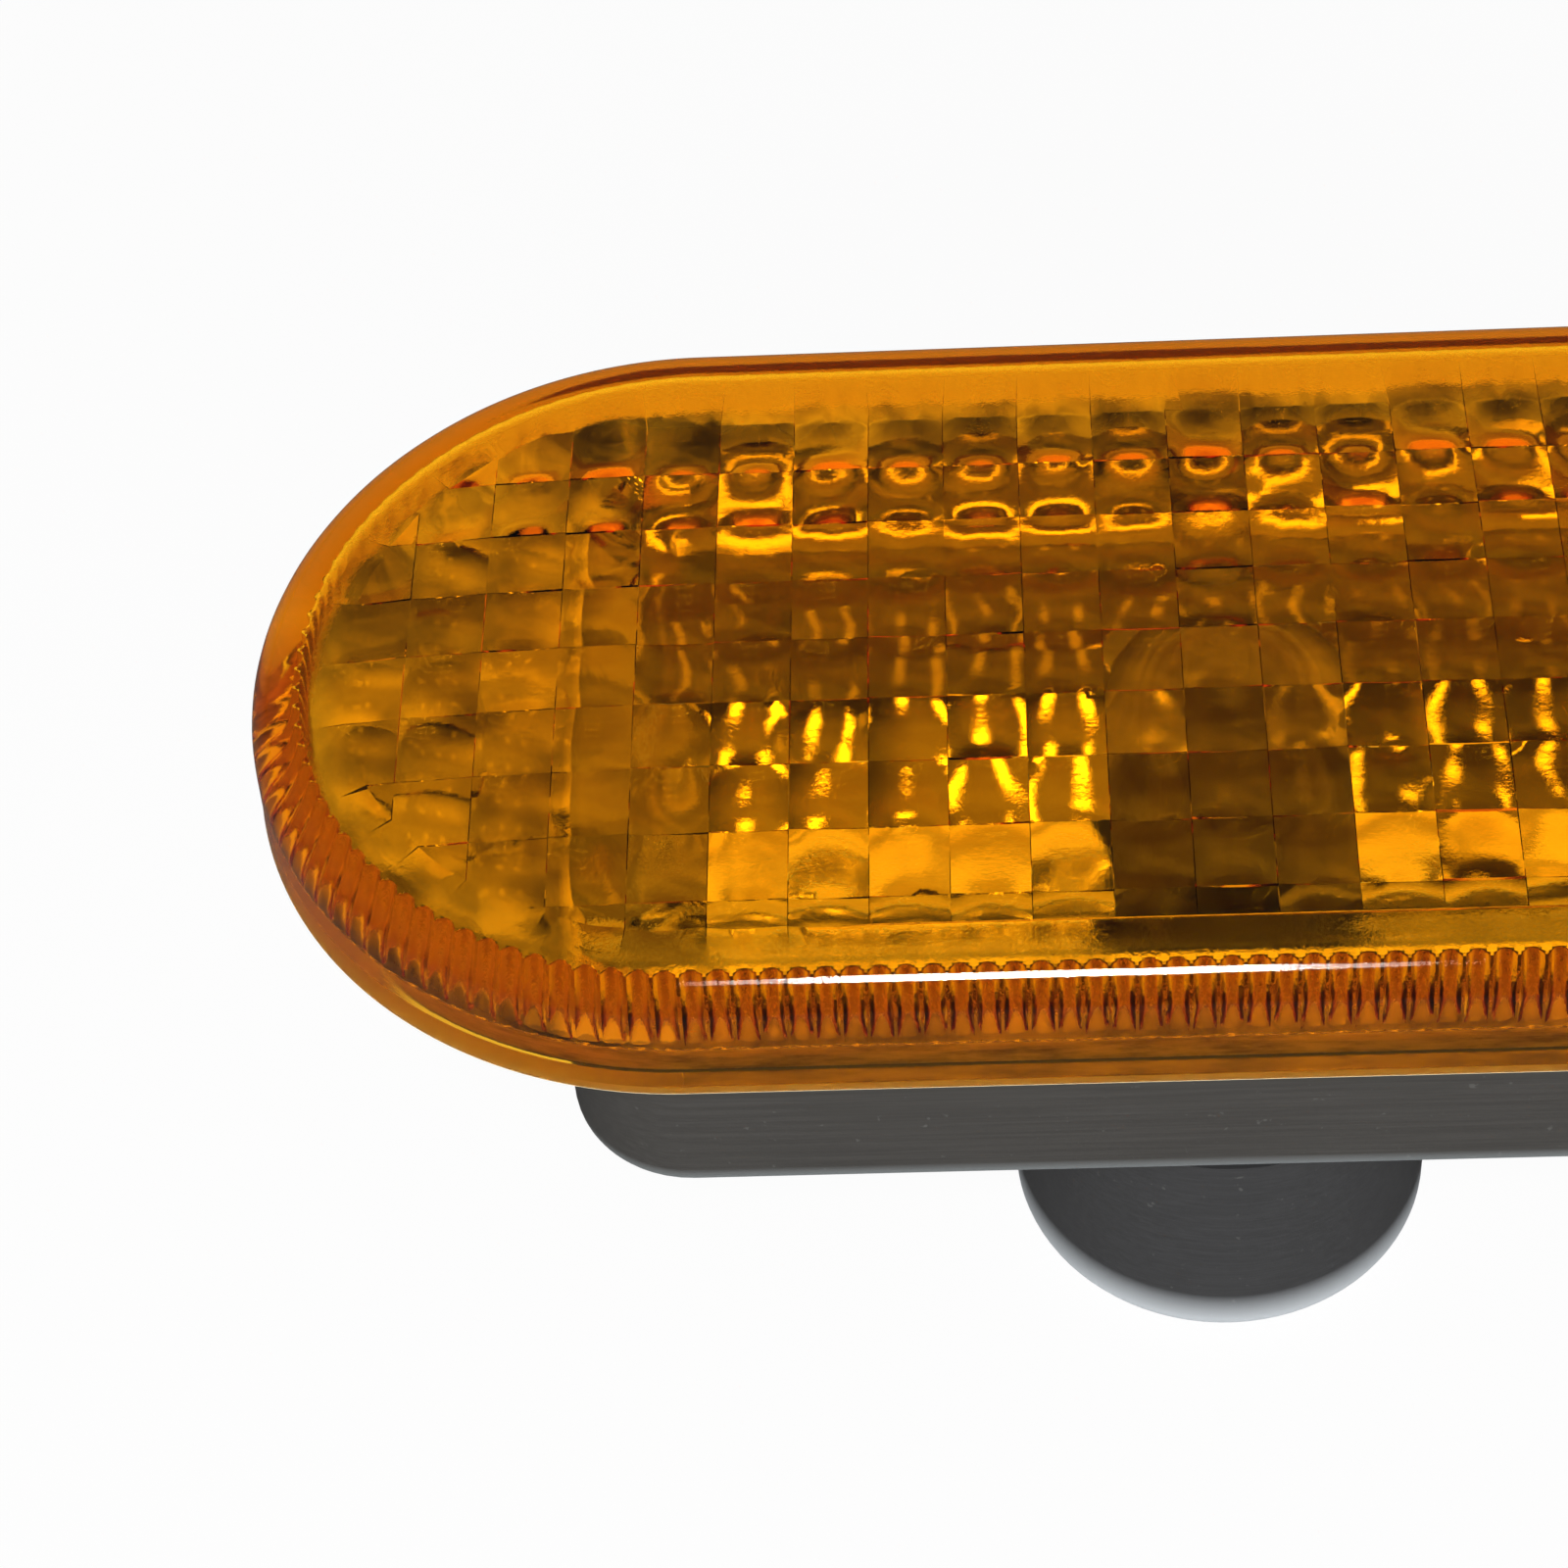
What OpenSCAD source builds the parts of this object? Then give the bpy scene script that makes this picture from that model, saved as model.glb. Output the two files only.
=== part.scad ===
// Oval side repeater lamp for a car wing.
// The lens faces up along +Z and the lamp is long along X.
// The origin is the centre of the face that seats on the wing, so the lens lies above it
// and the housing and the bulb holder go down through the wing's cut-out.

/* [Lens] */
// Overall length of the lens
lens_l = 70; // [64:1:84]
// Overall width of the lens
lens_w = 31.6; // [30:0.2:34]
// Height of the lens at its shoulder, above the wing
lens_h = 5.2; // [5:0.1:7]
// How far the face domes above the shoulder
dome_h = 0.8; // [0.3:0.1:1.5]
// Rounding of the outer shoulder
shoulder_r = 2.4; // [1.2:0.1:2.6]
// How far the skirt leans in for the mould, from the rim to the shoulder
skirt_draft = 0.12; // [0.05:0.01:0.3]
// Thickness of the skirt behind the flutes
skirt_t = 1.8; // [1.8:0.1:2.2]
// Thickness of the skirt round the housing flange, on which the flutes' feet rest
rim_t = 1.7; // [1.4:0.1:1.7]
// Thickness of the face at its edge
face_t = 1.2; // [1:0.1:1.4]

/* [Lens optics] */
// Pillow pitch along the lamp
pillow_x = 2.72; // [2.4:0.02:3.4]
// Pillow pitch across the lamp
pillow_y = 2.78; // [2.6:0.02:3.2]
// Rows of pillows across the lamp
pillow_rows = 8; // [6:2:8]
// How far a pillow bulges into the lamp
pillow_h = 0.25; // [0.15:0.05:0.5]
// Facets along each side of a pillow
pillow_steps = 4; // [2:1:4]
// Width of the plain sloping band between the flutes and the pillows
band_w = 1.1; // [0.8:0.1:1.5]
// Pitch of the flutes inside the skirt
flute_pitch = 0.95; // [0.8:0.05:1.6]
// How far a flute stands in from the skirt
flute_h = 0.45; // [0.2:0.05:0.5]
// Flat step between the flutes' crests and the sloping band
crest_step = 0.15; // [0.1:0.05:0.3]
// Least flat left between the pillows and the band
pillow_margin = 0.1; // [0.05:0.05:0.3]
// Height of the flutes
flute_len = 2.5; // [1.4:0.1:2.5]

/* [Housing] */
// Thickness of the flange that the lens is welded to
flange_t = 1.2; // [1:0.1:1.4]
// Width of the seat on the wing at each end, from the lens's rim to the tub
end_seat = 10.8; // [10:0.2:12]
// Width of the seat on the wing at each side, from the lens's rim to the tub
side_seat = 3.1; // [2.9:0.1:3.7]
// Depth of the tub below the wing
tub_d = 10.1; // [9.6:0.1:11]
// Upright corner radius of the tub
tub_r = 4.5; // [3.6:0.1:5.5]
// Rounding of the tub's lower edge
tub_edge_r = 1; // [0.6:0.1:1.4]
// Wall of the tub
tub_t = 1.2; // [1.1:0.1:1.6]
// Wall of the tub at its mouth, round the reflector's rim
mouth_t = 0.6; // [0.5:0.1:0.8]
// Depth of the step inside the tub's mouth
mouth_depth = 0.6; // [0.4:0.1:0.8]
// Depth at which the bulb holder's seal meets the neck
neck_end = 15.2; // [14.4:0.1:15.8]
// Outer radius of the neck
neck_r = 8; // [7.8:0.1:8.2]
// Reach of the gussets beside the neck, along the tub's floor
gusset_l = 6; // [3:0.5:9]
// Height of the gussets
gusset_h = 3.6; // [2:0.2:4.6]
// Thickness of the gussets
gusset_t = 1.4; // [1:0.1:2]
// Largest panel that the catches grip, seal included
panel_grip = 2.1; // [1:0.1:2.6]

/* [Catches] */
// Reach of the fixed hook beyond the tub
hook_reach = 2.4; // [1.5:0.1:3]
// Width of the fixed hook
hook_w = 8; // [5:0.5:12]
// Thickness of the fixed hook at its tip
hook_t = 2; // [1.4:0.1:2.6]
// Height of the sloping root under the fixed hook
hook_root = 1.6; // [1:0.1:2.4]
// Chamfer on the catches' gripping edges
hook_lead = 0.4; // [0.2:0.1:0.6]
// Reach of the spring tongue's barb beyond the tub
tongue_reach = 3.4; // [2.8:0.1:4]
// Width of the spring tongue
tongue_w = 7; // [5:0.5:10]
// Thickness of the spring tongue
tongue_t = 1.1; // [0.9:0.1:1.2]
// Gap behind the spring tongue
tongue_gap = 1; // [0.8:0.1:1.2]
// Rise of the bend at the spring tongue's foot
tongue_bend = 1; // [0.6:0.1:1.4]
// Height of the barb
barb_h = 1.3; // [1:0.1:1.6]
// Height of the barb's entry ramp
barb_ramp = 2.2; // [1.6:0.1:2.6]

/* [Reflector] */
// Sheet of the reflector
mirror_t = 0.8; // [0.6:0.1:1]
// Rise of the trough's curved floor, from its middle to the foot of its sloping sides
trough_rise = 5.29; // [4.6:0.01:6]
// Width of the sloping sides above the trough's curved floor
trough_side = 2.45; // [2:0.05:3]
// Radius of the upward curve at each end of the trough
trough_end_r = 3; // [2:0.5:4]
// Slope of the trough's ends
trough_turn = 72; // [66:1:76]
// Width of the flat edge round the trough, inside the housing's mouth
brim_edge = 0.2; // [0.1:0.05:0.3]
// Clear room between the reflector and the bulb
mirror_gap = 0.7; // [0.5:0.1:1.2]

/* [Bulb] */
// Diameter of the bulb
bulb_d = 9.2; // [8.8:0.1:9.4]
// Wall of the glass
glass_t = 0.6; // [0.4:0.1:0.8]
// Height of the bulb's tip above the wing
bulb_top = 2.9; // [1.5:0.1:3]
// Depth of the wedge base's end below the wing
base_end = 19.9; // [19.4:0.1:20.2]
// Height of the wedge base
wedge_h = 6.5; // [6:0.1:6.8]
// Width of the wedge base
wedge_w = 9; // [8.6:0.1:9.4]
// Radius of the envelope where it meets the wedge base
pinch_r = 3.3; // [3:0.1:3.8]
// Height over which the envelope narrows to the wedge base
bulb_taper = 2.2; // [1.6:0.1:3]
// Thickness of the wedge base
wedge_t = 2.4; // [2.2:0.1:2.6]
// Diameter of the lead wires
lead_d = 0.5; // [0.4:0.1:0.6]
// Distance of each lead wire from the middle
lead_x = 2.6; // [2.3:0.1:2.8]
// Level of the filament's ends, below the wing
filament_z = 4; // [3:0.5:6]
// Thickness of the coiled filament
filament_d = 0.3; // [0.2:0.05:0.4]

/* [Bulb holder] */
// Radius of the holder's collar
collar_r = 8.2; // [8.1:0.1:8.6]
// Depth of the holder's end below the wing
holder_end = 27.5; // [27:0.1:30]
// Rounding of the collar's end
collar_edge_r = 1; // [0.5:0.1:1]
// Radius of the part that plugs into the neck
spigot_r = 6; // [5.9:0.1:6.1]
// Thickness of the sealing ring
seal_t = 1; // [0.6:0.1:1.2]
// Reach of the bayonet lugs beyond the spigot
lug_reach = 1; // [0.7:0.1:1.1]
// Width of the bayonet lugs
lug_w = 3.2; // [2.6:0.1:3.6]
// Thickness of the bayonet lugs
lug_t = 1.3; // [1:0.1:1.4]
// Floor between the bulb and the connector socket
floor_t = 1; // [0.8:0.1:1.2]

/* [Connector] */
// Length of the connector socket's mouth
socket_l = 11.2; // [10.6:0.1:11.6]
// Width of the connector socket's mouth
socket_w = 7.2; // [6.8:0.1:7.4]
// Corner radius of the socket
socket_r = 1.2; // [0.8:0.1:1.8]
// Width of the keyway
key_w = 2.6; // [2:0.1:3]
// Depth of the keyway
key_d = 1.1; // [0.8:0.1:1.3]
// Width of a contact blade
blade_w = 2.8; // [2.4:0.1:2.9]
// Thickness of a contact blade
blade_t = 0.8; // [0.6:0.1:0.8]
// Chamfer at the blade tips
blade_lead = 0.5; // [0.3:0.1:0.8]
// How far the blade tips lie inside the socket
blade_recess = 1; // [0.5:0.1:1.5]
// How far the blades lie off the socket's middle
blade_off = 1.4; // [1.2:0.1:1.5]
// Thickness of the contact springs
spring_t = 0.5; // [0.4:0.1:0.6]
// Width of the contact springs
spring_w = 2.2; // [1.8:0.1:2.4]

/* [Fits] */
// Room round the flange in the lens
weld_gap = 0.08; // [0.05:0.01:0.15]
// Room round the reflector
mirror_room = 0.25; // [0.15:0.05:0.4]
// Room round the holder's spigot and its lugs
spigot_room = 0.2; // [0.1:0.05:0.25]
// Room round the bulb in the holder
bulb_room = 0.15; // [0.1:0.05:0.2]
// Room round the contacts in the holder
contact_room = 0.05; // [0.03:0.01:0.1]
// Room between the folded lead wires and the contacts' feet
lead_room = 0.2; // [0.1:0.05:0.3]
// Room between the reflector and the holder's lugs
lug_room = 0.3; // [0.2:0.1:0.5]

/* [Hidden] */

$fn = 96;
// how far a cut runs past the face that it opens
over = 1;
// how far a joined shape runs into its neighbour
into = 0.5;

lens_r = lens_w / 2;
end_x = (lens_l - lens_w) / 2;
roof_z = lens_h - face_t;
flute_top = flange_t + flute_len;
// how far in from the rim each line of the lens's inside lies
pocket_in = rim_t;
flute_in = skirt_t;
crest_in = flute_in + flute_h;
band_in = crest_in + crest_step;
roof_in = band_in + band_w;

tub_l = lens_l - 2 * end_seat;
tub_w = lens_w - 2 * side_seat;
floor_z = -(tub_d - tub_t);
collar_top = -(neck_end + seal_t);
spigot_top = floor_z + lug_t;
plate_top = flange_t + mirror_t;
hole_r = bulb_d / 2 + mirror_gap;
trough_z = spigot_top + lug_room + mirror_t;

bulb_r = bulb_d / 2;
wedge_end = -base_end;
wedge_top = wedge_end + wedge_h;
lead_y = wedge_t / 2 + lead_d / 2;
lead_end = wedge_end - lead_d / 2;
spring_y = wedge_t / 2 + lead_d;
spring_top = wedge_top - 1;
foot_top = lead_end - lead_d / 2 - lead_room;
pocket_z = foot_top - spring_t;
socket_top = pocket_z - floor_t;
blade_tip = -holder_end + blade_recess;

// Outline of the lens, moved in from its rim. The count is the steps round each end.
ring_steps = 34;
function ring(inset, z) = [for (side = [0, 1], k = [0:ring_steps])
    let (a = -90 + 180 * k / ring_steps + 180 * side, r = lens_r - inset)
    [(side == 0 ? end_x : -end_x) + r * cos(a), r * sin(a), z]];

// Fluted outline of the skirt's inside: each flute has a valley and two points on its crest.
flute_points = 3;
flutes_end = round(PI * (lens_r - flute_in) / flute_pitch);
flutes_side = round(2 * end_x / flute_pitch);
function crest(j) = j == 0 ? 0 : flute_h;
function fluted_ring(z) = [for (side = [0, 1])
    let (s = side == 0 ? 1 : -1)
    each concat(
        [for (i = [0:flutes_end - 1], j = [0:flute_points - 1])
            let (a = -90 + 180 * (i + j / flute_points) / flutes_end + 180 * side,
                r = lens_r - flute_in - crest(j))
            [s * end_x + r * cos(a), r * sin(a), z]],
        [for (i = [0:flutes_side - 1], j = [0:flute_points - 1])
            [s * end_x * (1 - 2 * (i + j / flute_points) / flutes_side),
                s * (lens_r - flute_in - crest(j)), z]])];

// Pillow grid. Each row holds the whole pillows that lie inside the plain band.
function row_reach(y) = end_x + sqrt(pow(lens_r - roof_in - pillow_margin, 2) - y * y);
function row_half(j) =
    let (y = max(abs(j - pillow_rows / 2), abs(j + 1 - pillow_rows / 2)) * pillow_y)
    floor(row_reach(y) / pillow_x - 0.5);
row_halves = [for (j = [0:pillow_rows - 1]) row_half(j)];
mid_col = max(row_halves);
cols = 2 * mid_col + 1;
lattice_w = cols * pillow_steps + 1;
function at(a, b) = b * lattice_w + a;
function right_edge(j) = (mid_col + row_halves[j] + 1) * pillow_steps;
function left_edge(j) = (mid_col - row_halves[j]) * pillow_steps;
function bulge(a) =
    let (t = 2 * (a % pillow_steps) / pillow_steps - 1)
    1 - t * t;
lattice = [for (b = [0:pillow_rows * pillow_steps], a = [0:lattice_w - 1])
    [(a / pillow_steps - cols / 2) * pillow_x, (b / pillow_steps - pillow_rows / 2) * pillow_y,
        roof_z - pillow_h * bulge(a) * bulge(b)]];
function along(from, to) = from == to ? [] : [for (a = [from:sign(to - from):to - sign(to - from)]) a];
last_row = pillow_rows - 1;
grid_right = [for (j = [0:last_row]) each concat(
    [for (b = [j * pillow_steps:(j + 1) * pillow_steps - 1]) at(right_edge(j), b)],
    j == last_row ? [] : [for (a = along(right_edge(j), right_edge(j + 1)))
        at(a, (j + 1) * pillow_steps)])];
grid_far = [for (a = along(right_edge(last_row), left_edge(last_row)))
    at(a, pillow_rows * pillow_steps)];
grid_left = [for (j = [last_row:-1:0]) each concat(
    [for (b = [(j + 1) * pillow_steps:-1:j * pillow_steps + 1]) at(left_edge(j), b)],
    j == 0 ? [] : [for (a = along(left_edge(j), left_edge(j - 1))) at(a, j * pillow_steps)])];
grid_near = [for (a = along(left_edge(0), right_edge(0))) at(a, 0)];
grid_edge = concat(grid_right, grid_far, grid_left, grid_near);
pillow_faces = [for (j = [0:last_row], i = [mid_col - row_halves[j]:mid_col + row_halves[j]],
    v = [0:pillow_steps - 1], u = [0:pillow_steps - 1])
    let (a = i * pillow_steps + u, b = j * pillow_steps + v)
    each [[at(a, b), at(a + 1, b), at(a + 1, b + 1)], [at(a, b), at(a + 1, b + 1), at(a, b + 1)]]];

// Faces between two rings of n points each, and between two rings in one plane.
function strip(a, b, n) = [for (i = [0:n - 1])
    let (k = (i + 1) % n)
    each [[b + i, b + k, a + k], [b + i, a + k, a + i]]];
function flipped(faces) = [for (f = faces) [for (i = [len(f) - 1:-1:0]) f[i]]];
function span(loop, from, to) = [for (i = [from:to]) loop[i % len(loop)]];
function flat_ring(outer, outer_mid, inner, inner_mid) = [
    concat(span(outer, 0, outer_mid), flipped([span(inner, 0, inner_mid)])[0]),
    concat(span(outer, outer_mid, len(outer)),
        flipped([span(inner, inner_mid, len(inner))])[0])];
function numbers(from, n) = [for (i = [0:n - 1]) from + i];

shoulder_steps = 6;
dome_steps = 4;
// the dome's last ring closes it with a narrow flat
crown_in = 0.9 * lens_r;
shoulder_in = skirt_draft + shoulder_r;
outside_rings = concat(
    [ring(0, 0)],
    [for (k = [0:shoulder_steps])
        let (a = 90 * k / shoulder_steps)
        ring(shoulder_in - shoulder_r * cos(a), lens_h - shoulder_r + shoulder_r * sin(a))],
    [for (k = [1:dome_steps])
        let (t = k / dome_steps)
        ring(shoulder_in + (crown_in - shoulder_in) * t, lens_h + dome_h * (1 - (1 - t) * (1 - t)))]);

module lens() {
    n = 2 * (ring_steps + 1);
    m = 2 * flute_points * (flutes_end + flutes_side);
    outside = len(outside_rings);
    rim = outside * n;
    ledge = rim + n;
    flute_foot = ledge + n;
    flute_head = flute_foot + m;
    band = flute_head + m;
    roof = band + n;
    grid = roof + n;
    points = concat(
        [for (r = outside_rings) each r],
        ring(pocket_in, 0), ring(pocket_in, flange_t),
        fluted_ring(flange_t), fluted_ring(flute_top),
        ring(band_in, flute_top), ring(roof_in, roof_z),
        lattice);
    faces = concat(
        [for (k = [0:outside - 2]) each strip(k * n, (k + 1) * n, n)],
        flipped([numbers((outside - 1) * n, n)]),
        flat_ring(numbers(0, n), n / 2, numbers(rim, n), n / 2),
        flipped(strip(rim, ledge, n)),
        flat_ring(numbers(ledge, n), n / 2, numbers(flute_foot, m), m / 2),
        flipped(strip(flute_foot, flute_head, m)),
        flat_ring(numbers(flute_head, m), m / 2, numbers(band, n), n / 2),
        flipped(strip(band, roof, n)),
        flat_ring(numbers(roof, n), n / 2, [for (i = grid_edge) grid + i],
            len(grid_right) + len(grid_far)),
        [for (f = pillow_faces) [for (i = f) grid + i]]);
    color("orange") polyhedron(points, faces);
}

// Flat shapes
module oval(l, w) {
    square([l - w, w], center = true);
    for (s = [-1, 1]) translate([s * (l - w) / 2, 0]) circle(d = w);
}

module rounded_rect(l, w, r) {
    square([l - 2 * r, w], center = true);
    square([l, w - 2 * r], center = true);
    for (x = [-1, 1], y = [-1, 1])
        translate([x * (l / 2 - r), y * (w / 2 - r)]) circle(r);
}

// Section from a middle line out: square above, rounded at its lower outer edge
module edge_section(reach, depth, edge_r) {
    translate([0, -depth + edge_r]) square([reach, depth - edge_r]);
    translate([0, -depth]) square([reach - edge_r, edge_r + into]);
    intersection() {
        translate([reach - edge_r, -depth + edge_r]) circle(edge_r);
        translate([reach - edge_r, -depth]) square([edge_r, edge_r]);
    }
}

// Block with rounded upright corners and a rounded lower edge, its top at z = 0
module tub_block(l, w, depth, corner_r, edge_r) {
    core_x = l / 2 - corner_r;
    core_y = w / 2 - corner_r;
    translate([-core_x, -core_y, -depth]) cube([2 * core_x, 2 * core_y, depth]);
    for (x = [0, 1], y = [0, 1])
        mirror([x, 0, 0]) mirror([0, y, 0]) translate([core_x, core_y, 0])
            rotate_extrude(angle = 90) edge_section(corner_r, depth, edge_r);
    for (x = [0, 1])
        mirror([x, 0, 0]) translate([core_x, core_y, 0]) rotate([90, 0, 0])
            linear_extrude(2 * core_y) edge_section(corner_r, depth, edge_r);
    for (y = [0, 1])
        mirror([0, y, 0]) translate([-core_x, core_y, 0]) rotate([90, 0, 90])
            linear_extrude(2 * core_x) edge_section(corner_r, depth, edge_r);
}

// Fixed hook that slides under the wing at one end
module hook() {
    low = -panel_grip - hook_t;
    root = low - hook_root;
    translate([tub_l / 2, hook_w / 2, 0]) rotate([90, 0, 0]) linear_extrude(hook_w)
        polygon([[-tub_t / 2, -panel_grip], [hook_reach - hook_lead, -panel_grip],
            [hook_reach, -panel_grip - hook_lead], [hook_reach, low],
            [0, root], [-tub_t / 2, root]]);
}

// Spring tongue that snaps under the wing at the other end
module tongue() {
    foot = -tub_d + tub_edge_r;
    bend = foot + tongue_t + tongue_bend / 2;
    out = tongue_gap + tongue_t;
    barb = -panel_grip - barb_h;
    rotate([0, 0, 180]) translate([tub_l / 2, tongue_w / 2, 0]) rotate([90, 0, 0])
        linear_extrude(tongue_w)
            polygon([[-tub_t / 2, foot], [0, foot], [out, foot + tongue_bend + tongue_t / 2],
                [out, barb - barb_ramp], [tongue_reach, barb],
                [tongue_reach, -panel_grip - hook_lead], [tongue_reach - hook_lead, -panel_grip],
                [tongue_gap, -panel_grip], [tongue_gap, bend + tongue_bend / 2], [0, bend],
                [-tub_t / 2, bend]]);
}

// Gusset between the tub's floor and the neck
module gusset() {
    sunk = tub_t / 3;
    lip = gusset_t / 2;
    translate([neck_r - sunk, gusset_t / 2, -tub_d + sunk]) rotate([90, 0, 0])
        linear_extrude(gusset_t)
            polygon([[0, 0], [gusset_l + sunk, 0], [gusset_l + sunk, -sunk - lip],
                [sunk + lip, -gusset_h], [0, -gusset_h]]);
}

module housing() {
    flange_in = pocket_in + weld_gap;
    color("#3b3a38") difference() {
        union() {
            linear_extrude(flange_t) oval(lens_l - 2 * flange_in, lens_w - 2 * flange_in);
            tub_block(tub_l, tub_w, tub_d, tub_r, tub_edge_r);
            translate([0, 0, -neck_end]) cylinder(r = neck_r, h = neck_end - tub_d + into);
            hook();
            tongue();
            for (s = [0, 1]) mirror([s, 0, 0]) gusset();
        }
        translate([0, 0, floor_z]) linear_extrude(flange_t - floor_z + over)
            rounded_rect(tub_l - 2 * tub_t, tub_w - 2 * tub_t, tub_r - tub_t);
        translate([0, 0, -mouth_depth]) linear_extrude(mouth_depth + flange_t + over)
            rounded_rect(tub_l - 2 * mouth_t, tub_w - 2 * mouth_t, tub_r - mouth_t);
        translate([0, 0, -neck_end - over])
            cylinder(r = spigot_r + spigot_room, h = neck_end + over);
        translate([0, 0, -neck_end - over]) bayonet_bar(spigot_room, neck_end + over);
    }
}

// Two lugs on the spigot, or with room round them the notches that let them in
module bayonet_bar(room, h) {
    reach = spigot_r + lug_reach + room;
    linear_extrude(h) intersection() {
        square([lug_w + 2 * room, 2 * reach + over], center = true);
        circle(reach);
    }
}

mirror_steps = 16;
// outer size of the trough inside the tub, and of its rim inside the mouth
mirror_l = tub_l - 2 * (tub_t + mirror_room);
mirror_w = tub_w - 2 * (tub_t + mirror_room);
mirror_r = tub_r - tub_t - mirror_room;
brim_l = tub_l - 2 * (mouth_t + mirror_room);
brim_w = tub_w - 2 * (mouth_t + mirror_room);
brim_r = tub_r - mouth_t - mirror_room;
// half width and focal length of the trough's curved floor
trough_y = brim_w / 2 - brim_edge - trough_side;
mirror_f = trough_y * trough_y / (4 * trough_rise);

// Section across the trough, from its middle to one side: a parabola, then a sloping side.
// A positive grow gives the sheet's outer face.
function side_curve(grow) = concat(
    [for (k = [0:mirror_steps])
        let (y = trough_y * k / mirror_steps)
        [y + grow * k / mirror_steps, trough_z + y * y / (4 * mirror_f) - grow]],
    [[brim_w / 2 - brim_edge + grow, plate_top]]);

// Section along the trough, from its middle to one end: flat, an arc, then a sloping end
function end_curve(grow) =
    let (arc_x = brim_l / 2 - brim_edge - (plate_top - trough_z) / tan(trough_turn)
            - trough_end_r * tan(trough_turn / 2))
    concat([[0, trough_z - grow]],
        [for (k = [0:mirror_steps])
            let (a = trough_turn * k / mirror_steps)
            [arc_x + (trough_end_r + grow) * sin(a),
                trough_z + trough_end_r - (trough_end_r + grow) * cos(a)]],
        [[brim_l / 2 - brim_edge + grow, plate_top]]);

// The room in the trough, or with a positive grow the outside of its sheet
module trough(grow) {
    intersection() {
        translate([-lens_l / 2, 0, 0]) rotate([90, 0, 90]) linear_extrude(lens_l)
            open_section(side_curve(grow));
        translate([0, lens_w / 2, 0]) rotate([90, 0, 0]) linear_extrude(lens_w)
            open_section(end_curve(grow));
    }
}

// Half a curve mirrored, and closed above
module open_section(curve) {
    last = curve[len(curve) - 1];
    polygon(concat([for (i = [len(curve) - 1:-1:1]) [-curve[i].x, curve[i].y]], curve,
        [[last.x, plate_top + over], [-last.x, plate_top + over]]));
}

module reflector() {
    plate_in = crest_in + mirror_room;
    brim_low = mirror_room - mouth_depth;
    color("silver") difference() {
        union() {
            translate([0, 0, flange_t]) linear_extrude(mirror_t)
                oval(lens_l - 2 * plate_in, lens_w - 2 * plate_in);
            translate([0, 0, brim_low]) linear_extrude(flange_t - brim_low)
                rounded_rect(brim_l, brim_w, brim_r);
            intersection() {
                trough(mirror_t);
                translate([0, 0, floor_z]) linear_extrude(flange_t - floor_z)
                    rounded_rect(mirror_l, mirror_w, mirror_r);
            }
        }
        intersection() {
            trough(0);
            translate([0, 0, floor_z]) linear_extrude(plate_top - floor_z + over)
                rounded_rect(brim_l - 2 * brim_edge, brim_w - 2 * brim_edge, brim_r - brim_edge);
        }
        translate([0, 0, floor_z]) cylinder(r = hole_r, h = tub_d);
    }
}

module bulb_glass() {
    dome_z = bulb_top - bulb_r;
    neck_z = wedge_top + bulb_taper;
    color("#e8f0f0", 0.5) difference() {
        union() {
            rotate_extrude() bulb_section(0, dome_z, neck_z);
            translate([-wedge_w / 2, -wedge_t / 2, wedge_end])
                cube([wedge_w, wedge_t, wedge_h + glass_t]);
        }
        rotate_extrude() bulb_section(glass_t, dome_z, neck_z);
        for (s = [-1, 1]) translate([s * lead_x, 0, wedge_end - over])
            cylinder(d = lead_d, h = wedge_h + glass_t + 2 * over);
    }
}

// Half section of the envelope, moved in by t
module bulb_section(t, dome_z, neck_z) {
    r = bulb_r - t;
    translate([0, dome_z]) intersection() {
        circle(r);
        square([r, r]);
    }
    translate([0, neck_z]) square([r, dome_z - neck_z]);
    polygon([[0, wedge_top + t], [pinch_r - t, wedge_top + t], [r, neck_z], [0, neck_z]]);
}

module bulb_filament() {
    color("#555555") translate([0, 0, -filament_z]) rotate([90, 0, 0])
        rotate_extrude(angle = 180) translate([lead_x, 0]) circle(d = filament_d);
}

// Lead wire: up through the glass to the filament, and folded up the wedge's face
module bulb_lead(side) {
    color("#a0a0a0") rotate([0, 0, side > 0 ? 180 : 0]) translate([-lead_x, 0, 0]) {
        translate([0, 0, lead_end]) cylinder(d = lead_d, h = -filament_z - lead_end);
        translate([0, 0, lead_end]) rotate([-90, 0, 0]) cylinder(d = lead_d, h = lead_y);
        translate([0, lead_y, lead_end]) cylinder(d = lead_d, h = spring_top - spring_t - lead_end);
        translate([0, 0, lead_end]) sphere(d = lead_d);
        translate([0, lead_y, lead_end]) sphere(d = lead_d);
    }
}

// Contact spring beside the wedge, its foot on the pocket's floor, and its blade in the socket
module terminal(side) {
    y_in = side < 0 ? spring_y : -spring_y - spring_t;
    foot_low = min(y_in, -blade_off - blade_t / 2);
    foot_high = max(y_in + spring_t, -blade_off + blade_t / 2);
    color("#c9b458") {
        translate([side * lead_x - spring_w / 2, y_in, pocket_z])
            cube([spring_w, spring_t, spring_top - pocket_z]);
        translate([side * lead_x - spring_w / 2, foot_low, pocket_z])
            cube([spring_w, foot_high - foot_low, spring_t]);
        translate([side * lead_x, -blade_off + blade_t / 2, 0]) rotate([90, 0, 0])
            linear_extrude(blade_t)
                polygon([[-blade_w / 2, pocket_z + spring_t], [blade_w / 2, pocket_z + spring_t],
                    [blade_w / 2, blade_tip + blade_lead], [blade_w / 2 - blade_lead, blade_tip],
                    [-blade_w / 2 + blade_lead, blade_tip],
                    [-blade_w / 2, blade_tip + blade_lead]]);
    }
}

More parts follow.
